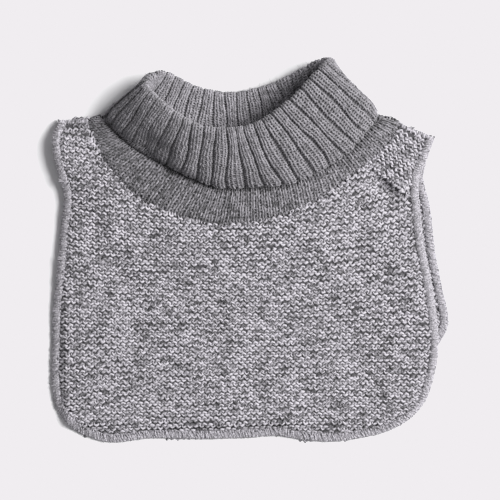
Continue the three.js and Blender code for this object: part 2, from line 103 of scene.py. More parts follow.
# Studio, in metres: the middle and width of the picture, the camera's height, its sensor in
# millimetres, the floor, the place, size and power of the key lamp, and the paper's brightest tone
FRAME_MIDDLE = (0.00015, -0.0011)
FRAME_WIDTH = 0.375
CAMERA_HEIGHT = 4.0
SENSOR_WIDTH = 36
FLOOR_SIZE = 6.0
KEY_PLACE = (2.85, 0.8, 2.65)
KEY_SIZE = 2.4
KEY_POWER = 319
SKY_POWER = 0.29
PAPER_WHITE = (0.871, 0.847, 0.871)

# Purl stitches of the bibs: width, height and thickness of yarn
BIB_WALE = 4.35
BIB_COURSE = 4.6
BIB_YARN = 1.1

# One purl stitch from foot to foot over its head: along and up in stitches, out in millimetres and
# thickness as a share of the yarn's
PURL_LOOP = np.array([
    (-0.50, -0.78, 0.65, 1.05), (-0.14, -0.68, 0.00, 0.85),
    (-0.26, 0.00, -1.50, 0.45), (-0.38, 0.64, 0.20, 0.90),
    (0.00, 0.80, 1.00, 1.15), (0.38, 0.64, 0.20, 0.90),
    (0.26, 0.00, -1.50, 0.45), (0.14, -0.68, 0.00, 0.85),
])

# How much a purl stitch varies: its size, height, tilt, place along, depth and thickness
PURL_SIZE = 0.13
PURL_NUDGE = 0.09
PURL_TILT = 0.34
PURL_SHIFT = 0.03
PURL_DEPTH = 0.12
PURL_THICKNESS = 0.09

# Rows of a bib: their slope, their sag per millimetre near the hem and near the yoke, where and over
# how far it changes, how much closer they lie towards the hem and how softly that begins, and their
# climb to the right shoulder as x, y, height and reach
ROW_SLOPE = 0.02
HEM_SAG = -0.00015
YOKE_SAG = 0.00055
SAG_FROM = -115
SAG_OVER = 130
ROW_SQUEEZE = 0.08
SQUEEZE_REACH = 20
ROW_CLIMB = (125, 50, 5, 36)

# Rows wander up and down, and sideways: how far, turn per millimetre of x and of y, and start
ROW_WANDER = [(0.4, 0.021, 0.05, 0), (0.3, 0.047, -0.033, 2)]
ROW_DRIFT = (0.6, 0.02, 0.031)

# Stockinette of the band: stitches, yarn, how much both vary, the width of 0.4 ribs at which the yarn
# is full, its thinnest and thickest shares, and how high the knitting lies
BAND_WALES_PER_RIB = 3
BAND_COURSES = 14
BAND_YARN = 0.92
BAND_VARIES = 0.05
BAND_YARN_VARIES = 0.07
BAND_FULL_WIDTH = 5.2
BAND_YARN_SHARES = (0.6, 1.1)
BAND_RISE = 0.6

# Rib knit of the collar: courses up the tube, over the turn and down the cuff, its yarn, the width in
# ribs of one of a rib's two wales, how much stitches vary along, up and out and the yarn in thickness,
# and how high the knitting lies
TUBE_COURSES = 21
TURN_COURSES = 5
CUFF_COURSES = 25
COLLAR_COURSES = TUBE_COURSES + TURN_COURSES + CUFF_COURSES
COLLAR_YARN = 0.79
RIB_WALE = 0.46
RIB_VARIES = np.array([0.02, 0.07, 0.12])
COLLAR_YARN_VARIES = 0.08
COLLAR_RISE = 0.5

# Knit stitches of the band and the collar: lean, gather and reach in stitches, and depth
BAND_LOOP = (0.17, 0.04, 0.76, -0.35)
RIB_LOOP = (0.2, 0.03, 0.72, -0.3)

# Shape of the collar's and the band's cloth
NECK_GAP = 1.5
TURN_RADIUS = 2.8
CUFF_BULGE = 4
CUFF_BULGE_LEAN = 0.6
SIDE_HOLLOW = 4.25
TUBE_HOLLOW = 2.3
SIDE_LEAN = 0.6
BAND_BOW = 2.5
BOW_PEAK = 256 / 27
BOW_LEAN = 0.5

# The band sinks under the end of the cuff and rolls down into its seam
BAND_DIP = 4.8
BAND_DIP_REACH = 2.5
BAND_DIP_AHEAD = 1.4
BAND_DROP = 1.8
BAND_DROP_REACH = 2.4

# The collar's relief: its ribs in the tube and on the cuff, their grooves, and how they flatten where
# the collar turns at its sides and on the turn at the back
TUBE_RELIEF = 0.4
CUFF_RELIEF = 0.85
RIB_ROUNDNESS = 3
GROOVE = -0.9
SIDE_TURNS = (10.9, 28.4)
SIDE_TURN_REACH = 1.8
SIDE_EASE = 0.35
TURN_EASE = 0.5
BACK_RIB = 19
BACK_RIBS = 8

# The cuff's free edge rolls in, and is drawn back in the grooves
CUFF_ROLL = 2.4
CUFF_ROLL_COURSES = 7
SCALLOP = 0.7
SCALLOP_COURSES = 5

# Ribs sway along their length: how far in ribs, times round the collar, turn per course and start.
# They are steadier over the cuff's last courses.
RIB_SWAY = [(0.09, 5, 0.10, 0.4), (0.07, 9, -0.16, 1.9), (0.05, 17, 0.27, 3.1)]
SWAY_END_COURSES = 6
SWAY_END = 0.5

# Where the cuff hangs longer: rib, share of its length and width in ribs
LONGER = [(34.5, 0.1, 4.5), (5.5, 0.05, 3.5)]

# Creases down the cuff: rib, depth and width in ribs
CREASES = [(28.62, 2.0, 0.22)]

# Where the cuff stands fuller before it falls steeply: rib, width in ribs, height and lean
FULLER = (32, 3.6, 1.6, 0.7)

# Where the cuff's ribs are stretched flat: rib, width in ribs and by how much
STRETCHED = (32.3, 1.3, 0.75)

# Dents in the collar: rib, course, depth, width in ribs and length in courses
DENTS = [
    (33.6, 42, 3.6, 1.0, 4.5),
    (32.5, 46, 2.8, 0.7, 6),
    (35.6, 45, -1.4, 0.8, 4),
    (31.0, 38, 1.0, 1.2, 6),
    (31.5, 54, 2.5, 3.0, 12),
]

# Fold by the right shoulder of the front bib: a point on it, and the ways along and across it
BUCKLE_POINT = np.array([105.0, 50.0])
BUCKLE_ALONG = np.array([0.79, -0.61])
BUCKLE_ACROSS = np.array([0.61, 0.79])

# The fold's ridge and the dent below it: height, place across and along, width and length
BUCKLE_FORMS = [(2.6, 1.6, 1, 2.6, 16), (-3.6, -5.0, -3, 4.4, 12)]

# How far the rows above the fold reach down past it, how far those below run up under them, and the x
# past which this holds
BUCKLE_OVERLAP = 1.5
BUCKLE_UNDERLAP = 2.6
BUCKLE_FROM = 70

# Where both bibs lift off the floor: x, y, height and reach
LIFT = (-146.0, 68.0, 3.0, 26.0)

# The front bib hangs down to the floor past these edges of the back one, left and lower: over how far
# it falls, how deep, and the y on the left at which this begins and over how far it grows
HANG_EDGES = (-136.5, -130.5)
HANG_REACH = 6.0
HANG_DEPTH = 2.2
HANG_TOP = -10.0
HANG_BEGIN = 50.0

FLOOR_CLEARANCE = 0.05
TUCK_DEPTH = 1.4

# Sheets behind the knitting: thickness, how far a bib's starts from the yoke seam and how far it runs
# on into the edging
BIB_SHEET = 0.9
COLLAR_SHEET = 1.0
BIB_START = 1.1
BIB_END = 1.5

# Overlocked edge: its width and thickness, how far its core lies inside them, and the yarn wound round
# it: height, thickness, pitch, how much it leaves for its own width, slant and how square it winds
EDGE_WIDTH = 6.8
EDGE_THICKNESS = 3.2
CORE_INSET = 0.4
CORE_SINK = 0.35
EDGE_WRAP_HEIGHT = 1.0
EDGE_YARN = 0.82
EDGE_PITCH = 1.1
EDGE_WRAP_INSET = 1.2
EDGE_SLANT = 1.3
EDGE_SQUARENESS = 0.4

# How much its turns vary: reach on the bib's side, slant, height and thickness
EDGE_REACH_VARIES = 0.5
EDGE_REACH_SHARE = 0.16
EDGE_SLANT_VARIES = 0.6
EDGE_HEIGHT_VARIES = 0.2
EDGE_YARN_VARIES = 0.22

# Wales and courses that cover each bib, and the stretch of the front one by the right shoulder
MAIN_WALES = (-36, 36)
FRONT_COURSES = (-38, 28)
BACK_COURSES = (-36, 28)
SHOULDER_WALES = (-12, 14)
SHOULDER_COURSES = (-1, 16)

# How far the bibs' knitting shows short of the hem and past the seam, and how far it runs on, tucked
SHOWN = (6.0, 0.3)
TUCKED = (3.0, 3.0)

# Twisted seam between the band and the bibs: twists, width, its course on the band, its height above
# the cloth and how far the strands rise and fall, yarn, and how much the width varies
SEAM_TWISTS_PER_RIB = 3
SEAM_WIDTH = 0.75
SEAM_COURSE = 0.3
SEAM_HEIGHT = 1.0
SEAM_RISE = 0.5
SEAM_YARN = 0.6
SEAM_VARIES = 0.15

# Yarn wound over both bibs closes the shoulders: its pitch, half its width, how far out it lies, how
# far it stands past the cloth, its thickness as a share of the bibs', and how much it varies
SHOULDER_PITCH = 1.5
SHOULDER_WIDTH = 1.5
SHOULDER_SHIFT = -1.0
SHOULDER_RISE = 0.8
SHOULDER_YARN = 0.85
SHOULDER_VARIES = 0.2
SHOULDER_YARN_VARIES = 0.12

# Ends of yarn that stick out from the front edging: x, y and the way they point. How high they start
# over the cloth, and how their fibres splay
LOOSE_ENDS = [(-138.5, -8.5, -6.0, 2.0), (-139, 50, -4.2, 1.2)]
LOOSE_HEIGHT = 2
LOOSE_SPLAY = (-0.2, 0.0, 0.25)

# Loose fibres: thickness and how it tapers, length and its shortest share, how far they stray and bend,
# the bib's stitches to one of them, and how many there are to a course of the collar or the band, to one
# at the collar's turn, to an edging and to a turn of shoulder yarn
HAIR = 0.1
HAIR_TAPER = np.array([1, 0.8, 0.3])
HAIR_LENGTH = 3.2
HAIR_SHORTEST = 0.4
HAIR_STRAY = 0.7
HAIR_BEND = 0.4
STITCHES_PER_HAIR = 6
COURSE_HAIRS = RIBS
TURN_HAIRS = 3 * RIBS
EDGE_HAIRS = 900
SHOULDER_HAIRS = 2

# Yarn has four sides and is flattened, and every winding has eight points to a turn
YARN_SIDES = 4
YARN_FLATNESS = 0.75
TURN_STEPS = 8

# Points along a hem and along a bib's part of the yoke seam
HEM_POINTS = 561
SEAM_POINTS = 400

# Flecks of the wool: how much its long streaks count beside the fine ones, how often they change
# across the yarn, and how far a share of dark moves the balance
STREAK_SHARE = 0.7
FLECKS_ACROSS = 1.7
SHARE_SPREAD = 0.35

WOOL_SURFACE = {"Roughness": 0.95, "Specular IOR Level": 0.15, "Sheen Weight": 0.25, "Sheen Roughness": 0.6}

rng = np.random.default_rng(7)


# Curves and surfaces


def smoothstep(t):
    c = np.clip(t, 0, 1)
    return c * c * (3 - 2 * c)


def bump(distance, width):
    return np.exp(-((distance / width) ** 2))


def unit(v):
    return v / np.maximum(np.linalg.norm(v, axis=-1, keepdims=True), 1e-9)


def outward(tangent, clockwise):
    """The level way out of an outline, from the ways along it."""
    return np.stack([tangent[:, 1], -tangent[:, 0]], 1) * (-1 if clockwise else 1)


def ring_curve(rows):
    """A smooth closed curve through a ring's rows, as a function of the rib number."""
    table = np.array(rows, float)
    n = len(table)
    turn = np.array([[RIBS, 0, 0, 0]])
    table = np.concatenate([table[-2:] - turn, table, table[:3] + turn])
    t, p = table[:, 0], table[:, 1:] + ORIGIN_SHIFT
    slope = np.zeros_like(p)
    slope[1:-1] = (p[2:] - p[:-2]) / (t[2:] - t[:-2])[:, None]

    def at(rib):
        r = np.mod(np.asarray(rib, float), RIBS)
        i = np.clip(np.searchsorted(t, r, side="right") - 1, 1, n + 2)
        span = (t[i + 1] - t[i])[..., None]
        u = (r - t[i])[..., None] / span
        u2, u3 = u * u, u * u * u
        return (
            p[i] * (2 * u3 - 3 * u2 + 1)
            + slope[i] * span * (u3 - 2 * u2 + u)
            + p[i + 1] * (3 * u2 - 2 * u3)
            + slope[i + 1] * span * (u3 - u2)
        )

    return at


turn_at = ring_curve(TURN_RING)
cuff_at = ring_curve(CUFF_RING)
neck_at = ring_curve(NECK_RING)
yoke_at = ring_curve(YOKE_RING)


def way_round(first, second, rib):
    """The way the cloth between two rings runs round the garment."""
    return first(rib + 0.5) + second(rib + 0.5) - first(rib - 0.5) - second(rib - 0.5)


def collar_middle(rib, course):
    """Middle of the collar's cloth: courses run up the tube, over the turn and down the cuff."""
    rib, course = np.broadcast_arrays(np.asarray(rib, float), np.asarray(course, float))
    neck, turn, cuff = neck_at(rib), turn_at(rib), cuff_at(rib)
    up = unit(turn - neck)
    out = unit(np.cross(way_round(turn_at, neck_at, rib), up))
    neck = neck + up * NECK_GAP
    centre = turn - up * TURN_RADIUS
    inner, outer = centre - out * TURN_RADIUS, centre + out * TURN_RADIUS
    on_top = smoothstep((out[..., 2:] + CUFF_BULGE_LEAN) / (2 * CUFF_BULGE_LEAN))
    sideways = bump(out[..., 2:], SIDE_LEAN)
    middle = (outer + cuff) / 2 + out * (CUFF_BULGE * on_top - 2 * SIDE_HOLLOW * sideways)
    risen = (course / TUBE_COURSES)[..., None]
    turned = ((course - TUBE_COURSES) / TURN_COURSES)[..., None]
    fallen = ((course - TUBE_COURSES - TURN_COURSES) / CUFF_COURSES)[..., None]
    tube = neck + (inner - neck) * risen - out * TUBE_HOLLOW * sideways * 4 * risen * (1 - risen)
    angle = math.pi * (np.clip(turned, 0, 1) - 0.5)
    top = centre + up * TURN_RADIUS * np.cos(angle) + out * TURN_RADIUS * np.sin(angle)
    fall = outer * (1 - fallen) ** 2 + middle * 2 * fallen * (1 - fallen) + cuff * fallen * fallen
    return np.where(turned <= 0, tube, np.where(fallen <= 0, top, fall))


def band_middle(rib, course):
    """Middle of the band's cloth: courses run up from the yoke seam to the neck seam."""
    share = (np.asarray(course, float) / BAND_COURSES)[..., None]
    yoke, neck = yoke_at(rib), neck_at(rib)
    out = unit(np.cross(way_round(yoke_at, neck_at, rib), neck - yoke))
    bow = BAND_BOW * bump(out[..., 2:], BOW_LEAN) * BOW_PEAK * share * (1 - share) ** 3
    width = np.linalg.norm(neck - yoke, axis=-1, keepdims=True)
    level = (neck - yoke) * (1, 1, 0)
    under_cuff = ((cuff_at(rib) - yoke) * level).sum(-1, keepdims=True) / (level ** 2).sum(-1, keepdims=True)
    dip = BAND_DIP * bump((share - under_cuff) * width + BAND_DIP_AHEAD, BAND_DIP_REACH)
    drop = BAND_DROP * bump(share * width, BAND_DROP_REACH)
    on_top = np.clip(out[..., 2:] * 1.5, 0, 1)
    return yoke + (neck - yoke) * share + out * (bow - on_top * (dip + drop))


def facing(middle, rib, course, sign):
    """Points of a surface and the way its showing side faces there."""
    d = 0.15
    across = middle(rib + d, course) - middle(rib - d, course)
    along = middle(rib, course + d) - middle(rib, course - d)
    return middle(rib, course), unit(np.cross(across, along)) * sign


def distances(points):
    """How far along a line each of its points lies."""
    return np.concatenate([[0], np.cumsum(np.linalg.norm(np.diff(points, axis=0), axis=1))])


def resampled(points, far, want):
    return np.stack([np.interp(want, far, points[:, k]) for k in range(points.shape[1])], 1)


def between(t, t0, t1, p0, p1):
    return (t1 - t) / (t1 - t0) * p0 + (t - t0) / (t1 - t0) * p1


def catmull(points, samples, steps=24):
    """Evenly spaced points of a centripetal curve through a few."""
    p = np.array(points, float)
    p = np.concatenate([[2 * p[0] - p[1]], p, [2 * p[-1] - p[-2]]])
    fine = []
    for i in range(1, len(p) - 2):
        q = p[i - 1:i + 3]
        k = np.concatenate([[0], np.cumsum(np.sqrt(np.linalg.norm(np.diff(q, axis=0), axis=1)))])
        t = np.linspace(k[1], k[2], steps, endpoint=False)[:, None]
        a = [between(t, k[j], k[j + 1], q[j], q[j + 1]) for j in range(3)]
        b = [between(t, k[j], k[j + 2], a[j], a[j + 1]) for j in range(2)]
        fine.append(between(t, k[1], k[2], *b))
    fine = np.concatenate(fine + [p[-2:-1]])
    far = distances(fine)
    return resampled(fine, far, np.linspace(0, far[-1], samples))


FRONT_HEM = catmull(FRONT_OUTLINE, HEM_POINTS) + ORIGIN_SHIFT[:2]
BACK_HEM = catmull(BACK_OUTLINE, HEM_POINTS) + ORIGIN_SHIFT[:2]


class Heights:
    """Middle height of solids that lie flat, on a coarse grid, and the folds over it."""

    STEP = 2.5
    LOW = np.array([-156.0, -152.0])
    COUNT = np.array([126, 112])
    SPREADS = 40
    SMOOTHINGS = 2

    def __init__(self, *nodes, buckled=False):
        self.buckled = buckled
        trees = []
        for node in nodes:
            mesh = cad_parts[node].data
            trees.append(BVHTree.FromPolygons(
                [v.co.copy() for v in mesh.vertices], [tuple(p.vertices) for p in mesh.polygons]))
        z = np.full(self.COUNT, np.nan)
        for i, j in np.ndindex(*self.COUNT):
            x, y = (self.LOW + self.STEP * np.array([i, j])) * MM
            for tree in trees:
                top = tree.ray_cast(Vector((x, y, 1)), Vector((0, 0, -1)))[0]
                under = tree.ray_cast(Vector((x, y, -1)), Vector((0, 0, 1)))[0]
                if top is not None and under is not None:
                    z[i, j] = (top.z + under.z) / 2 / MM
                    break
        self.z = self.filled(z)

    def filled(self, z):
        """Spreads the heights outwards past the edge, then smooths them a little."""
        for _ in range(self.SPREADS):
            known = ~np.isnan(z)
            around = np.stack([np.roll(z, s, a) for s in (-1, 1) for a in (0, 1)])
            count = (~np.isnan(around)).sum(0)
            mean = np.nansum(around, 0) / np.maximum(count, 1)
            z = np.where(known, z, np.where(count > 0, mean, np.nan))
        z = np.nan_to_num(z, nan=float(np.nanmean(z)))
        for _ in range(self.SMOOTHINGS):
            z = (z * 4 + sum(np.roll(z, s, a) for s in (-1, 1) for a in (0, 1))) / 8
        return z

    def __call__(self, x, y):
        return self.flat(x, y) + self.fold(x, y)

    def flat(self, x, y):
        u = np.clip((x - self.LOW[0]) / self.STEP, 0, self.COUNT[0] - 1.001)
        v = np.clip((y - self.LOW[1]) / self.STEP, 0, self.COUNT[1] - 1.001)
        i, j = u.astype(int), v.astype(int)
        u, v = u - i, v - j
        z = self.z
        return (z[i, j] * (1 - u) * (1 - v) + z[i + 1, j] * u * (1 - v)
                + z[i, j + 1] * (1 - u) * v + z[i + 1, j + 1] * u * v)

    def fold(self, x, y):
        at_x, at_y, high, reach = LIFT
        lift = high * bump(x - at_x, reach / 2) * bump(y - at_y, reach)
        if not self.buckled:
            return lift
        past_left = smoothstep((HANG_EDGES[0] - x) / HANG_REACH)
        past_left = past_left * smoothstep((HANG_TOP - y) / HANG_BEGIN)
        past_foot = smoothstep((HANG_EDGES[1] - y) / HANG_REACH)
        lift = lift - HANG_DEPTH * np.maximum(past_left, past_foot)
        px = x - BUCKLE_POINT[0] - ORIGIN_SHIFT[0]
        py = y - BUCKLE_POINT[1] - ORIGIN_SHIFT[1]
        across = px * BUCKLE_ACROSS[0] + py * BUCKLE_ACROSS[1]
        along = px * BUCKLE_ALONG[0] + py * BUCKLE_ALONG[1]
        return lift + sum(high * bump(across - a, width) * bump(along - b, length)
                          for high, a, b, width, length in BUCKLE_FORMS)

    def normal(self, x, y, d=1.2):
        dx = (self(x + d, y) - self(x - d, y)) / (2 * d)
        dy = (self(x, y + d) - self(x, y - d)) / (2 * d)
        return unit(np.stack([-dx, -dy, np.ones_like(dx)], -1))


front_height = Heights("front_bib", "front_edging", buckled=True)
back_height = Heights("back_bib", "back_edging")


# Meshes


def placed(name, data):
    made = bpy.data.objects.new(name, data)
    bpy.context.scene.collection.objects.link(made)
    return made


def quads(*corners):
    return np.stack(corners, -1).reshape(-1, 4)


def tube_faces(rings, sides, closed=False):
    """Faces between the rings of a tube. Closed joins the last ring to the first."""
    i = np.arange(rings if closed else rings - 1)[:, None]
    j = np.arange(sides)[None, :]
    here, following, after = i * sides, (i + 1) % rings * sides, (j + 1) % sides
    return quads(here + j, here + after, following + after, following + j)


def mesh_object(name, points, faces, material, uv=None):
    """An object from points in millimetres and four-cornered faces."""
    mesh = bpy.data.meshes.new(name)
    points = np.asarray(points, np.float32) * MM
    faces = np.asarray(faces, np.int32)
    mesh.vertices.add(len(points))
    mesh.vertices.foreach_set("co", points.ravel())
    mesh.loops.add(faces.size)
    mesh.loops.foreach_set("vertex_index", faces.ravel())
    mesh.polygons.add(len(faces))
    mesh.polygons.foreach_set("loop_start", np.arange(0, faces.size, 4, dtype=np.int32))
    mesh.polygons.foreach_set("loop_total", np.full(len(faces), 4, np.int32))
    mesh.polygons.foreach_set("use_smooth", np.ones(len(faces), bool))
    if uv is not None:
        layer = mesh.uv_layers.new(name="yarn")
        layer.uv.foreach_set("vector", np.asarray(uv, np.float32).ravel())
    mesh.update(calc_edges=True)
    mesh.validate()
    mesh.materials.append(material)
    obj = placed(name, mesh)
    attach(obj, "root")
    return obj


class Yarns:
    """Collects lengths of yarn, each a tube swept along its points, into one mesh."""

    def __init__(self):
        self.points, self.faces, self.uvs = [], [], []
        self.count = 0

    def add(self, centre, facing, radius, number, closed=False):
        n, k = len(centre), YARN_SIDES
        before, after = (centre[-1:], centre[:1]) if closed else (centre[:1], centre[-1:])
        tangent = unit(np.concatenate([centre[1:], after]) - np.concatenate([before, centre[:-1]]))
        side = unit(np.cross(tangent, facing))
        top = np.cross(side, tangent)
        angle = 2 * math.pi * np.arange(k) / k
        radius = np.broadcast_to(radius, (n,))[:, None, None]
        high = YARN_FLATNESS * np.cos(angle)[None, :, None] * top[:, None]
        wide = np.sin(angle)[None, :, None] * side[:, None]
        ring = centre[:, None] + radius * (high + wide)
        ring[..., 2] = np.maximum(ring[..., 2], FLOOR_CLEARANCE)
        along = distances(centre)
        spans = n if closed else n - 1
        j = np.arange(k)[None, :]
        self.faces.append(tube_faces(n, k, closed) + self.count)
        along = np.append(along, along[-1] * n / (n - 1))
        u0, u1 = along[:spans, None], along[1:spans + 1, None]
        v0, v1 = number + j / k * 0.5, number + (j + 1) / k * 0.5
        corners = [(u0, v0), (u0, v1), (u1, v1), (u1, v0)]
        uv = np.stack([np.stack(np.broadcast_arrays(*corner), -1) for corner in corners], -2)
        self.uvs.append(uv.reshape(-1, 2))
        if not closed:
            last = (n - 1) * k
            caps = np.array([[3, 2, 1, 0], [last, last + 1, last + 2, last + 3]])
            self.faces.append(caps + self.count)
            self.uvs.append(np.repeat([[0.0, number], [along[n - 1], number]], 4, 0))
        self.points.append(ring.reshape(-1, 3))
        self.count += n * k

    def build(self, name, slot, material):
        points, faces, uv = (np.concatenate(part) for part in (self.points, self.faces, self.uvs))
        return mesh_object(name, points, faces, material, uv)


def wall_object(name, middle, normal, thickness, material, closed):
    """A thin closed sheet round a grid of middle points. Closed joins the last column to the first."""
    columns, rows = middle.shape[:2]
    half = normal * thickness / 2
    points = np.concatenate([(middle + half).reshape(-1, 3), (middle - half).reshape(-1, 3)])
    side = columns * rows
    spans = columns if closed else columns - 1
    i = np.arange(spans)[:, None]
    j = np.arange(rows - 1)[None, :]
    here, following = i * rows, ((i + 1) % columns) * rows
    faces = [
        quads(here + j, following + j, following + j + 1, here + j + 1),
        side + quads(here + j, here + j + 1, following + j + 1, following + j),
    ]
    here, following = here[:, 0], following[:, 0]
    faces.append(quads(here, side + here, side + following, following))
    end = rows - 1
    faces.append(quads(here + end, following + end, side + following + end, side + here + end))
    if not closed:
        j = np.arange(rows - 1)
        last = (columns - 1) * rows
        faces.append(quads(j, j + 1, side + j + 1, side + j))
        faces.append(quads(last + j, side + last + j, side + last + j + 1, last + j + 1))
    return mesh_object(name, points, np.concatenate(faces), material)


# Stitches


def knit_loop(lean, gather, reach, depth):
    """A knit stitch of width and height 1 in eight points from foot to foot: along, up and out."""
    phase = np.linspace(-math.pi, math.pi, 8, endpoint=False)
    x = phase / (2 * math.pi) + lean * np.sin(2 * phase) - gather * np.sin(phase)
    return x, reach * np.cos(phase), depth * np.cos(2 * phase)


def inside(points, outline):
    """Whether each point lies inside a closed outline."""
    x, y = points[:, 0], points[:, 1]
    found = np.zeros(len(points), bool)
    for (x0, y0), (x1, y1) in zip(outline, np.roll(outline, -1, 0)):
        if y0 == y1:
            continue
        crosses = (y0 > y) != (y1 > y)
        found ^= crosses & (x < (x1 - x0) * (y - y0) / (y1 - y0) + x0)
    return found


def shrunk(hem, by, clockwise):
    return hem - outward(unit(np.gradient(hem, axis=0)), clockwise) * by


def bib_region(hem, yoke_from, yoke_to, clockwise, inset, overlap):
    """Outline of the knitting of a bib: along its hem, then back along the yoke seam."""
    ribs = np.linspace(yoke_to, yoke_from, 90)
    seam = yoke_at(ribs) + unit(neck_at(ribs) - yoke_at(ribs)) * overlap
    return np.concatenate([shrunk(hem, inset, clockwise)[2:-1:4], seam[:, :2]])


def main_rows(wale, course):
    """Rows of the bib sag in the middle below the yoke, and lie straighter and closer near the hem."""
    x = wale * BIB_WALE
    y = course * BIB_COURSE
    y = y + ROW_SQUEEZE / 2 * (np.hypot(y + SQUEEZE_REACH, SQUEEZE_REACH) - y - SQUEEZE_REACH)
    sag = HEM_SAG + (YOKE_SAG - HEM_SAG) * smoothstep((y - SAG_FROM) / SAG_OVER)
    at_x, at_y, high, reach = ROW_CLIMB
    climb = high * bump(x - at_x, reach) * bump(y - at_y, reach)
    wander = sum(far * np.sin(of_x * x + of_y * y + start) for far, of_x, of_y, start in ROW_WANDER)
    far, of_x, of_y = ROW_DRIFT
    return x + far * np.sin(of_y * y + of_x * x), y + ROW_SLOPE * x + sag * x * x + climb + wander


def shoulder_rows(wale, course):
    """Rows past the fold by the right shoulder run down along it."""
    p = (BUCKLE_POINT + ORIGIN_SHIFT[:2])[:, None]
    q = p + BUCKLE_ALONG[:, None] * (wale * BIB_WALE) + BUCKLE_ACROSS[:, None] * (course * BIB_COURSE)
    return q[0], q[1]


def knit_bib(yarns, rows_at, wales, courses, region, keep, height, number):
    """Purl-side rows of stitches wherever keep allows, one length of yarn for each stretch."""
    dx, dy, dz, thickness = PURL_LOOP.T
    for course in range(*courses):
        wale = np.arange(*wales)
        x, y = rows_at(wale, course)
        good = keep(np.stack([x, y], 1))
        edges = np.flatnonzero(np.diff(np.concatenate([[0], good.astype(int), [0]])))
        for start, stop in zip(edges[::2], edges[1::2]):
            if stop - start < 2:
                continue
            w = wale[start:stop]
            each = (len(w), 1)
            size = 1 + rng.uniform(-PURL_SIZE, PURL_SIZE, each)
            nudge = rng.uniform(-PURL_NUDGE, PURL_NUDGE, each)
            tilt = rng.uniform(0.0, PURL_TILT, each) * dx[None]
            along = (w[:, None] + dx[None] + rng.normal(0, PURL_SHIFT, each)).ravel()
            up = (course + dy[None] * size + nudge + tilt).ravel()
            out = (dz[None] * (1 + rng.normal(0, PURL_DEPTH, each))).ravel()
            px, py = rows_at(along, up)
            out = np.where(inside(np.stack([px, py], 1), region), out, -TUCK_DEPTH)
            normal = height.normal(px, py)
            centre = np.stack([px, py, height(px, py)], 1) + normal * out[:, None]
            uneven = 1 + rng.normal(0, PURL_THICKNESS, (len(w), len(dx)))
            radius = BIB_YARN * (thickness * uneven).ravel()
            yarns.add(centre, normal, radius, number)
            fuzz(yarns, centre, normal, len(w) // STITCHES_PER_HAIR, number)
            number += 1
    return number


def past_buckle(p, margin):
    """Whether points lie on the stretch of the front bib that slopes to the right shoulder."""
    return ((p - BUCKLE_POINT - ORIGIN_SHIFT[:2]) @ BUCKLE_ACROSS > -margin) & (p[:, 0] > BUCKLE_FROM)


def on_cuff(course):
    return smoothstep((course - TUBE_COURSES - 1) / 4)


def stretched(rib, course):
    """What is left of the ribs' relief where the cuff is stretched."""
    at, width, share = STRETCHED
    return 1 - share * bump(np.mod(rib, RIBS) - at, width) * on_cuff(course)


def collar_relief(rib, course):
    """How far the collar's cloth stands out: its ribs, its creases and dents, and its rolled end."""
    f = rib - np.round(rib)
    place = np.mod(rib, RIBS)
    eased = sum(bump(place - turn, SIDE_TURN_REACH) for turn in SIDE_TURNS)
    amount = TUBE_RELIEF + (CUFF_RELIEF - TUBE_RELIEF) * smoothstep((course - TUBE_COURSES) / TURN_COURSES)
    ease = TURN_EASE * bump(place - BACK_RIB, BACK_RIBS)
    amount = amount * (1 - ease * bump(course - TUBE_COURSES - TURN_COURSES / 2, TURN_COURSES))
    amount = amount * stretched(rib, course)
    lift = amount * (1 - 2 * np.abs(2 * f) ** RIB_ROUNDNESS) * (1 - SIDE_EASE * eased)
    for at, depth, width in CREASES:
        lift = lift - depth * bump(place - at, width) * on_cuff(course)
    down = np.clip((course - TUBE_COURSES - TURN_COURSES) / CUFF_COURSES, 0, 1)
    at, width, high, lean = FULLER
    lift = lift + high * bump(place - at, width) * np.sin(math.pi * down ** lean)
    for at, level, depth, width, length in DENTS:
        lift = lift - depth * bump(place - at, width) * bump(course - level, length)
    rolled = smoothstep((course - COLLAR_COURSES + CUFF_ROLL_COURSES) / CUFF_ROLL_COURSES)
    return lift - CUFF_ROLL * rolled ** 2


def sway(rib, course):
    """The rib number at which a rib really lies, after it sways a little to the side."""
    steady = 1 - smoothstep((course - COLLAR_COURSES + SWAY_END_COURSES) / SWAY_END_COURSES) * SWAY_END
    turns = 2 * math.pi * rib / RIBS
    return rib + steady * sum(a * np.sin(n * turns + k * course + start) for a, n, k, start in RIB_SWAY)


def scallop(f, course):
    """The end of the cuff is drawn back in the grooves between ribs."""
    near_end = smoothstep((course - COLLAR_COURSES + SCALLOP_COURSES) / SCALLOP_COURSES)
    return SCALLOP * (2 * f) ** 2 * near_end


def hung(rib, course):
    """The course at which the cloth lies, where the cuff hangs a little longer."""
    extra = sum(share * bump(np.mod(rib, RIBS) - at, width) for at, share, width in LONGER)
    return course + extra * np.maximum(course - TUBE_COURSES - TURN_COURSES, 0)


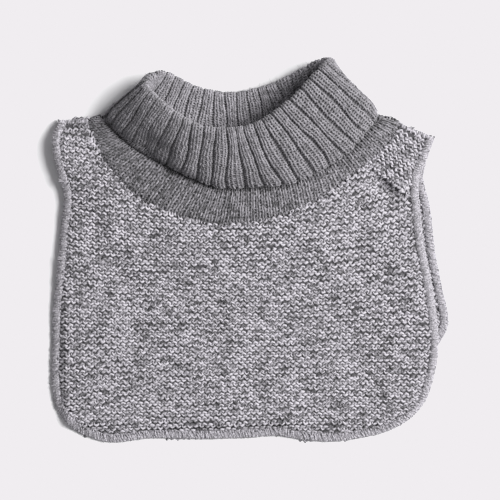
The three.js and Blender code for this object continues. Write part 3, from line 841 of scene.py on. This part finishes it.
def collar_rows(yarns, first, last, number):
    """Each course of the collar runs all round: two knit stitches on a rib, then down the groove."""
    dx, dy, dz = knit_loop(*RIB_LOOP)
    for course in range(first, last):
        ribs, ups, outs = [], [], []
        for rib in range(RIBS):
            for middle in (-RIB_WALE / 2, RIB_WALE / 2):
                along, up, out = RIB_VARIES * rng.normal(0, 1, 3)
                ribs.append(rib + middle + dx * RIB_WALE + along)
                ups.append(course + dy + up)
                outs.append(dz + out)
            ribs.append([rib + 0.5])
            ups.append([course - 0.5])
            outs.append([GROOVE * stretched(rib + 0.5, course)])
        rib = np.concatenate(ribs)
        up = np.concatenate(ups)
        out = np.concatenate(outs)
        f = rib - np.round(rib)
        up = up - scallop(f, up)
        lift = COLLAR_RISE + collar_relief(rib, up) + out
        level = hung(rib, np.clip(up, 0.2, COLLAR_COURSES + 0.3))
        p, n = facing(collar_middle, sway(rib, up), level, -1)
        radius = COLLAR_YARN * (1 + rng.normal(0, COLLAR_YARN_VARIES, len(rib)))
        line = p + n * lift[:, None]
        yarns.add(line, n, radius, number, closed=True)
        at_turn = abs(course - TUBE_COURSES - TURN_COURSES / 2) < TURN_COURSES / 2
        fuzz(yarns, line, n, TURN_HAIRS if at_turn else COURSE_HAIRS, number)
        number += 1
    return number


def band_rows(yarns, first, last, number):
    dx, dy, dz = knit_loop(*BAND_LOOP)
    wales = np.arange(BAND_WALES_PER_RIB * RIBS)
    for course in range(first, last):
        jitter = rng.normal(0, BAND_VARIES, (3, len(wales), 1))
        rib = ((wales[:, None] + dx[None] + jitter[0]) / BAND_WALES_PER_RIB).ravel()
        up = (course + dy[None] + jitter[1]).ravel()
        out = (dz[None] * (1 + 3 * jitter[2])).ravel()
        p, n = facing(band_middle, rib, np.clip(up, 0.1, BAND_COURSES), 1)
        width = np.linalg.norm(band_middle(rib + 0.2, up) - band_middle(rib - 0.2, up), axis=1)
        radius = BAND_YARN * (1 + rng.normal(0, BAND_YARN_VARIES, len(rib)))
        radius = radius * np.clip(width / BAND_FULL_WIDTH, *BAND_YARN_SHARES)
        line = p + n * (BAND_RISE + out)[:, None]
        yarns.add(line, n, radius, number, closed=True)
        fuzz(yarns, line, n, COURSE_HAIRS, number)
        number += 1
    return number


def seam_chain(yarns, number):
    """Two strands twisted along the seam that links the band to the bibs."""
    steps = 6
    turns = RIBS * SEAM_TWISTS_PER_RIB
    t = np.arange(turns * steps) / steps
    rib, course = t / SEAM_TWISTS_PER_RIB, np.full(len(t), SEAM_COURSE)
    p, n = facing(band_middle, rib, course, 1)
    down = unit(band_middle(rib, course - 0.2) - band_middle(rib, course + 0.3))
    for start in (0, math.pi):
        angle = 2 * math.pi * t + start
        width = SEAM_WIDTH * (1 + np.repeat(rng.normal(0, SEAM_VARIES, turns), steps))
        high = SEAM_HEIGHT + SEAM_RISE * np.sin(angle)
        off = down * (width * np.cos(angle))[:, None] + n * high[:, None]
        yarns.add(p + off, n, SEAM_YARN, number, closed=True)
        number += 1


def fuzz(yarns, points, normals, count, number):
    """Loose fibres that stand off the wool."""
    pick = rng.integers(0, len(points), count)
    way = unit(normals[pick] + rng.normal(0, HAIR_STRAY, (count, 3)))
    bend = rng.normal(0, HAIR_BEND, (count, 3))
    size = HAIR_LENGTH * rng.uniform(HAIR_SHORTEST, 1, (count, 1))
    for start, toward, turn, length in zip(points[pick], way, bend, size):
        line = np.array([start, start + toward * length * 0.5, start + (toward + turn) * length])
        yarns.add(line, unit(np.cross(toward, turn)), HAIR * HAIR_TAPER, number)


def loose_end(yarns, place, way, height, number):
    """A short end of yarn that stands off the edge, splayed into three fibres."""
    start = np.array([*place, float(height(*place)) + LOOSE_HEIGHT])
    for turn in LOOSE_SPLAY:
        along = np.array([way[0] - turn * way[1], way[1] + turn * way[0], 1])
        line = start + along * np.linspace(0, 1, 5)[:, None]
        yarns.add(line, UP, 3 * HAIR, number)


def squared(wave):
    """A wave with flatter tops, for winding round something flat."""
    return np.sign(wave) * np.abs(wave) ** EDGE_SQUARENESS


def hem_wrap(yarns, hem, clockwise, height, number):
    """Overlock yarn wound closely round a bib's edge."""
    turns = int(distances(hem)[-1] / EDGE_PITCH)
    t = np.linspace(0, 1, turns * TURN_STEPS + 1)
    share = t * (len(hem) - 1)
    i = np.clip(share.astype(int), 0, len(hem) - 2)
    u = (share - i)[:, None]
    at = hem[i] * (1 - u) + hem[i + 1] * u
    tangents = unit(np.gradient(hem, axis=0))
    tangent = unit(tangents[i] * (1 - u) + tangents[i + 1] * u)
    out = outward(tangent, clockwise)
    angle = 2 * math.pi * turns * t
    wobble = np.repeat(rng.normal(0, EDGE_REACH_VARIES, turns + 1), TURN_STEPS)[:len(t)]
    slant = EDGE_SLANT * np.cos(angle) + rng.normal(0, EDGE_SLANT_VARIES, len(t))
    across = (EDGE_WIDTH - EDGE_WRAP_INSET) / 2 * squared(np.cos(angle))
    across = np.where(across < 0, across * (1 + EDGE_REACH_SHARE * wobble), across)
    xy = at + out * (across - EDGE_WIDTH / 2)[:, None] + tangent * slant[:, None]
    z = height(xy[:, 0], xy[:, 1])
    rise = EDGE_WRAP_HEIGHT * squared(np.sin(angle)) + rng.normal(0, EDGE_HEIGHT_VARIES, len(t))
    centre = np.concatenate([xy, z[:, None]], 1) + UP * rise[:, None]
    radius = EDGE_YARN * (1 + rng.normal(0, EDGE_YARN_VARIES, len(t)))
    sideways = np.concatenate([out, np.zeros((len(t), 1))], 1)
    facing_out = unit(sideways * np.cos(angle)[:, None] + UP * np.sin(angle)[:, None])
    yarns.add(centre, facing_out, radius, number)
    fuzz(yarns, centre, facing_out, EDGE_HAIRS, number)


def shoulder_seam(yarns, rib, corner, number):
    """Yarn wound closely over a shoulder, which closes the front bib onto the back one."""
    start = yoke_at(rib)[:2]
    along = unit(corner - start)
    out = np.array([-along[1], along[0]]) * np.sign(along[0])
    turns = int(np.linalg.norm(corner - start) / SHOULDER_PITCH)
    t = np.arange(turns * TURN_STEPS + 1) / TURN_STEPS
    angle = 2 * math.pi * t
    across = SHOULDER_SHIFT + SHOULDER_WIDTH * np.cos(angle) + rng.normal(0, SHOULDER_VARIES, len(t))
    xy = start + along * (t * SHOULDER_PITCH)[:, None] + out * across[:, None]
    top, foot = front_height(xy[:, 0], xy[:, 1]), back_height(xy[:, 0], xy[:, 1])
    z = (top + foot) / 2 + ((top - foot) / 2 + SHOULDER_RISE) * np.sin(angle)
    centre = np.concatenate([xy, z[:, None]], 1)
    radius = BIB_YARN * (SHOULDER_YARN + rng.normal(0, SHOULDER_YARN_VARIES, len(t)))
    facing_out = np.append(out, 0) * np.cos(angle)[:, None] + UP * np.sin(angle)[:, None]
    yarns.add(centre, facing_out, radius, number)
    fuzz(yarns, centre, facing_out, SHOULDER_HAIRS * turns, number)


# Materials


def set_inputs(node, values):
    for key, value in values.items():
        node.inputs[key].default_value = value
    return node


def add_node(tree, kind, inputs, **settings):
    made = tree.nodes.new(kind)
    for key, value in settings.items():
        setattr(made, key, value)
    return set_inputs(made, inputs)


def shaded(name, inputs):
    """A new material and its shader."""
    material = bpy.data.materials.new(name)
    material.use_nodes = True
    return material, set_inputs(material.node_tree.nodes["Principled BSDF"], inputs)


def tinted(grey):
    """The wool's greys lean a little to purple."""
    return (grey, grey * 0.958, grey * 1.035, 1)


def wool(name, dark, light, share, fine, streak, contrast):
    """Wool of two greys, the dark one in a share of it. fine and streak are its flecks' lengths."""
    material, shader = shaded(name, WOOL_SURFACE)
    tree = material.node_tree
    where = add_node(tree, "ShaderNodeUVMap", {}, uv_map="yarn")

    def along_yarn(length):
        stretch = add_node(tree, "ShaderNodeMapping", {"Scale": (1 / length, FLECKS_ACROSS, 1)})
        tree.links.new(where.outputs[0], stretch.inputs[0])
        noise = add_node(tree, "ShaderNodeTexNoise", {"Scale": 1.0, "Detail": 2.0, "Roughness": 0.6})
        tree.links.new(stretch.outputs[0], noise.inputs["Vector"])
        return noise.outputs["Fac"]

    total = add_node(tree, "ShaderNodeMath", {1: STREAK_SHARE}, operation="MULTIPLY_ADD")
    tree.links.new(along_yarn(streak), total.inputs[0])
    tree.links.new(along_yarn(fine), total.inputs[2])
    middle = 0.5 + STREAK_SHARE / 2 + (share - 0.5) * SHARE_SPREAD
    ends = {"From Min": middle - contrast / 2, "From Max": middle + contrast / 2}
    ramp = add_node(tree, "ShaderNodeMapRange", ends, interpolation_type="SMOOTHSTEP")
    tree.links.new(total.outputs[0], ramp.inputs["Value"])
    mix = add_node(tree, "ShaderNodeMix", {6: tinted(dark), 7: tinted(light)}, data_type="RGBA")
    tree.links.new(ramp.outputs[0], mix.inputs[0])
    tree.links.new(mix.outputs[2], shader.inputs["Base Color"])
    return material


def plain(name, color):
    return shaded(name, {"Base Color": color, "Roughness": 1.0, "Specular IOR Level": 0.1})[0]


marl = wool("marl_yarn", 0.05, 0.49, 0.4, 5, 60, 0.3)
rib_yarn = wool("rib_yarn", 0.1, 0.295, 0.5, 3, 30, 0.4)
# The tube's wool is the cuff's wool made lighter: painted light on the inside of the collar.
tube_yarn_painted_light = wool("tube_yarn_painted_light", 0.12, 0.36, 0.5, 3, 30, 0.4)
band_yarn = wool("band_yarn", 0.032, 0.288, 0.5, 3, 30, 0.35)
edge_yarn = wool("edge_yarn", 0.08, 0.5, 0.42, 0.8, 1.5, 0.36)
# The sheets behind the knitting are dark: painted shade in the gaps between stitches, rows and ribs.
painted_shade_marl_backing = plain("painted_shade_marl_backing", tinted(0.07))
painted_shade_rib_backing = plain("painted_shade_rib_backing", tinted(0.1))
painted_shade_band_backing = plain("painted_shade_band_backing", tinted(0.045))
edge_backing = plain("edge_backing", tinted(0.25))


# Pieces


def bib_backing(name, hem, clockwise, ribs, height):
    """The bib's thin sheet, dark as painted shade between the stitches, in columns from the yoke seam to its
    hem.
    """
    columns, rows = 150, 20
    share = np.linspace(0, 1, columns)
    hem_at = shrunk(hem, EDGE_WIDTH - BIB_END, clockwise)
    end = resampled(hem_at, np.arange(len(hem)), share * (len(hem) - 1))
    seam = yoke_at(np.linspace(*ribs, SEAM_POINTS))
    far = distances(seam)
    start = resampled(seam[:, :2], far, share * far[-1])
    start = start + unit(end - start) * BIB_START
    t = np.linspace(0, 1, rows)[None, :, None]
    xy = start[:, None] * (1 - t) + end[:, None] * t
    z = height(xy[..., 0], xy[..., 1])
    normal = height.normal(xy[..., 0], xy[..., 1])
    middle = np.concatenate([xy, z[..., None]], -1) - normal * (BIB_SHEET / 2)
    return wall_object(name, middle, normal, BIB_SHEET, painted_shade_marl_backing, False)


def edge_core(name, hem, clockwise, height):
    """A flat oval core inside the overlocked edge."""
    at, sides = hem[::2], 8
    out = outward(unit(np.gradient(at, axis=0)), clockwise)
    angle = 2 * math.pi * np.arange(sides) / sides
    across = (EDGE_WIDTH / 2 - CORE_INSET) * np.cos(angle) - EDGE_WIDTH / 2
    xy = at[:, None] + out[:, None] * across[None, :, None]
    z = height(xy[..., 0], xy[..., 1]) + (EDGE_THICKNESS / 2 - CORE_SINK) * np.sin(angle)[None]
    points = np.concatenate([xy, z[..., None]], -1).reshape(-1, 3)
    cap = np.array([[0, 1, 6, 7], [1, 2, 5, 6], [2, 3, 4, 5]])
    faces = np.concatenate([tube_faces(len(at), sides), cap, cap + (len(at) - 1) * sides])
    return mesh_object(name, points, faces, edge_backing)


def front_bib():
    ends = (LEFT_SHOULDER_RIB, RIBS + RIGHT_SHOULDER_RIB, False)
    sheet = bib_backing("front_bib_cloth", FRONT_HEM, False, ends[:2], front_height)
    yarns = Yarns()
    region = bib_region(FRONT_HEM, *ends, *SHOWN)
    wide = bib_region(FRONT_HEM, *ends, *TUCKED)
    last = knit_bib(yarns, main_rows, MAIN_WALES, FRONT_COURSES, region,
                    lambda p: inside(p, wide) & ~past_buckle(p, -BUCKLE_UNDERLAP), front_height, 0)
    last = knit_bib(yarns, shoulder_rows, SHOULDER_WALES, SHOULDER_COURSES, region,
                    lambda p: inside(p, wide) & past_buckle(p, BUCKLE_OVERLAP), front_height, last)
    shoulder_seam(yarns, LEFT_SHOULDER_RIB, FRONT_HEM[0], last)
    shoulder_seam(yarns, RIGHT_SHOULDER_RIB, FRONT_HEM[-1], last + 1)
    knit = yarns.build("front_bib_knit", "marl_wool", marl)
    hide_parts("front_bib")


def back_bib():
    ends = (RIGHT_SHOULDER_RIB, LEFT_SHOULDER_RIB, True)
    sheet = bib_backing("back_bib_cloth", BACK_HEM, True, ends[:2], back_height)
    yarns = Yarns()
    region = bib_region(BACK_HEM, *ends, *SHOWN)
    wide = bib_region(BACK_HEM, *ends, *TUCKED)
    knit_bib(yarns, main_rows, MAIN_WALES, BACK_COURSES, region,
             lambda p: inside(p, wide), back_height, 0)
    knit = yarns.build("back_bib_knit", "marl_wool", marl)
    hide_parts("back_bib")


def collar():
    columns = 6
    ribs = np.arange(RIBS * columns) / columns
    courses = np.linspace(0, COLLAR_COURSES - 0.5, 38)
    rib, course = np.meshgrid(ribs, courses, indexing="ij")
    course = course - scallop(rib - np.round(rib), course)
    lift = collar_relief(rib, course) - COLLAR_RISE
    level = hung(rib, np.clip(course, 0.16, COLLAR_COURSES))
    p, n = facing(collar_middle, sway(rib, course), level, -1)
    middle = p + n * lift[..., None]
    # The collar's sheet is dark: painted shade in the grooves and in the gaps between the stitches.
    sheet = wall_object("collar_cloth", middle, n, COLLAR_SHEET, painted_shade_rib_backing, True)
    middle_of_turn = TUBE_COURSES + 3
    tube = Yarns()
    number = collar_rows(tube, 1, middle_of_turn, 0)
    # Inside the collar the same wool is painted lighter: painted light.
    tube = tube.build("collar_tube_knit", "rib_wool", tube_yarn_painted_light)
    cuff = Yarns()
    collar_rows(cuff, middle_of_turn, COLLAR_COURSES, number)
    cuff = cuff.build("collar_cuff_knit", "rib_wool", rib_yarn)
    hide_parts("rib_collar")


def neck_band():
    ribs = np.arange(RIBS * 4) / 4
    courses = np.linspace(0.1, BAND_COURSES - 0.1, 15)
    rib, course = np.meshgrid(ribs, courses, indexing="ij")
    p, n = facing(band_middle, rib, course, 1)
    # The band's sheet is dark: painted shade in the gaps between the stitches.
    sheet = wall_object("neck_band_cloth", p, n, COLLAR_SHEET, painted_shade_band_backing, True)
    yarns = Yarns()
    band_rows(yarns, 1, BAND_COURSES - 1, 0)
    seam_chain(yarns, BAND_COURSES)
    knit = yarns.build("neck_band_knit", "band_wool", band_yarn)
    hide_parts("neck_band")


def edges():
    for name, hem, clockwise, height in (
        ("front", FRONT_HEM, False, front_height),
        ("back", BACK_HEM, True, back_height),
    ):
        core = edge_core(name + "_edge_core", hem, clockwise, height)
        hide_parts(name + "_edging")
        yarns = Yarns()
        hem_wrap(yarns, hem, clockwise, height, 0)
        if name == "front":
            for *place, across, up in LOOSE_ENDS:
                loose_end(yarns, place, (across, up), height, 1)
        yarns.build(name + "_edge_wrap", "edge_wool", edge_yarn)


front_bib()
back_bib()
collar()
neck_band()
edges()


# Floor, light and camera


def develop(look):
    """Holds the brightest tone at the paper's grey."""
    look.view_transform = "Standard"
    look.use_curve_mapping = True
    for channel, top in zip(look.curve_mapping.curves[:3], PAPER_WHITE):
        channel.points[0].location = (0, 0)
        channel.points[1].location = (top, top)
        for point in channel.points:
            point.handle_type = "VECTOR"
    look.curve_mapping.extend = "HORIZONTAL"
    look.curve_mapping.update()


def add_floor():
    h = FLOOR_SIZE / 2
    mesh = bpy.data.meshes.new("floor")
    mesh.from_pydata([(-h, -h, 0), (h, -h, 0), (h, h, 0), (-h, h, 0)], [], [(0, 1, 2, 3)])
    mesh.materials.append(plain("floor_paint", (0.86, 0.85, 0.86, 1)))
    floor = placed("floor", mesh)


def add_sky():
    world = bpy.data.worlds.new("studio")
    bpy.context.scene.world = world
    world.use_nodes = True
    background = world.node_tree.nodes["Background"]
    background.inputs["Color"].default_value = (0.97, 0.97, 1.0, 1)
    background.inputs["Strength"].default_value = SKY_POWER


def add_key_lamp():
    light = bpy.data.lights.new("key", "AREA")
    light.shape = "SQUARE"
    light.size = KEY_SIZE
    light.energy = KEY_POWER
    lamp = placed("key", light)
    lamp.location = KEY_PLACE
    lamp.rotation_mode = "QUATERNION"
    lamp.rotation_quaternion = (-Vector(KEY_PLACE)).to_track_quat("-Z", "Y")


def add_camera():
    data = bpy.data.cameras.new("camera")
    data.sensor_width = SENSOR_WIDTH
    data.lens = SENSOR_WIDTH * CAMERA_HEIGHT / FRAME_WIDTH
    data.clip_end = 20
    viewer = placed("camera", data)
    viewer.location = (*FRAME_MIDDLE, CAMERA_HEIGHT)
    bpy.context.scene.camera = viewer


add_floor()
add_sky()
add_key_lamp()
add_camera()
develop(bpy.context.scene.view_settings)
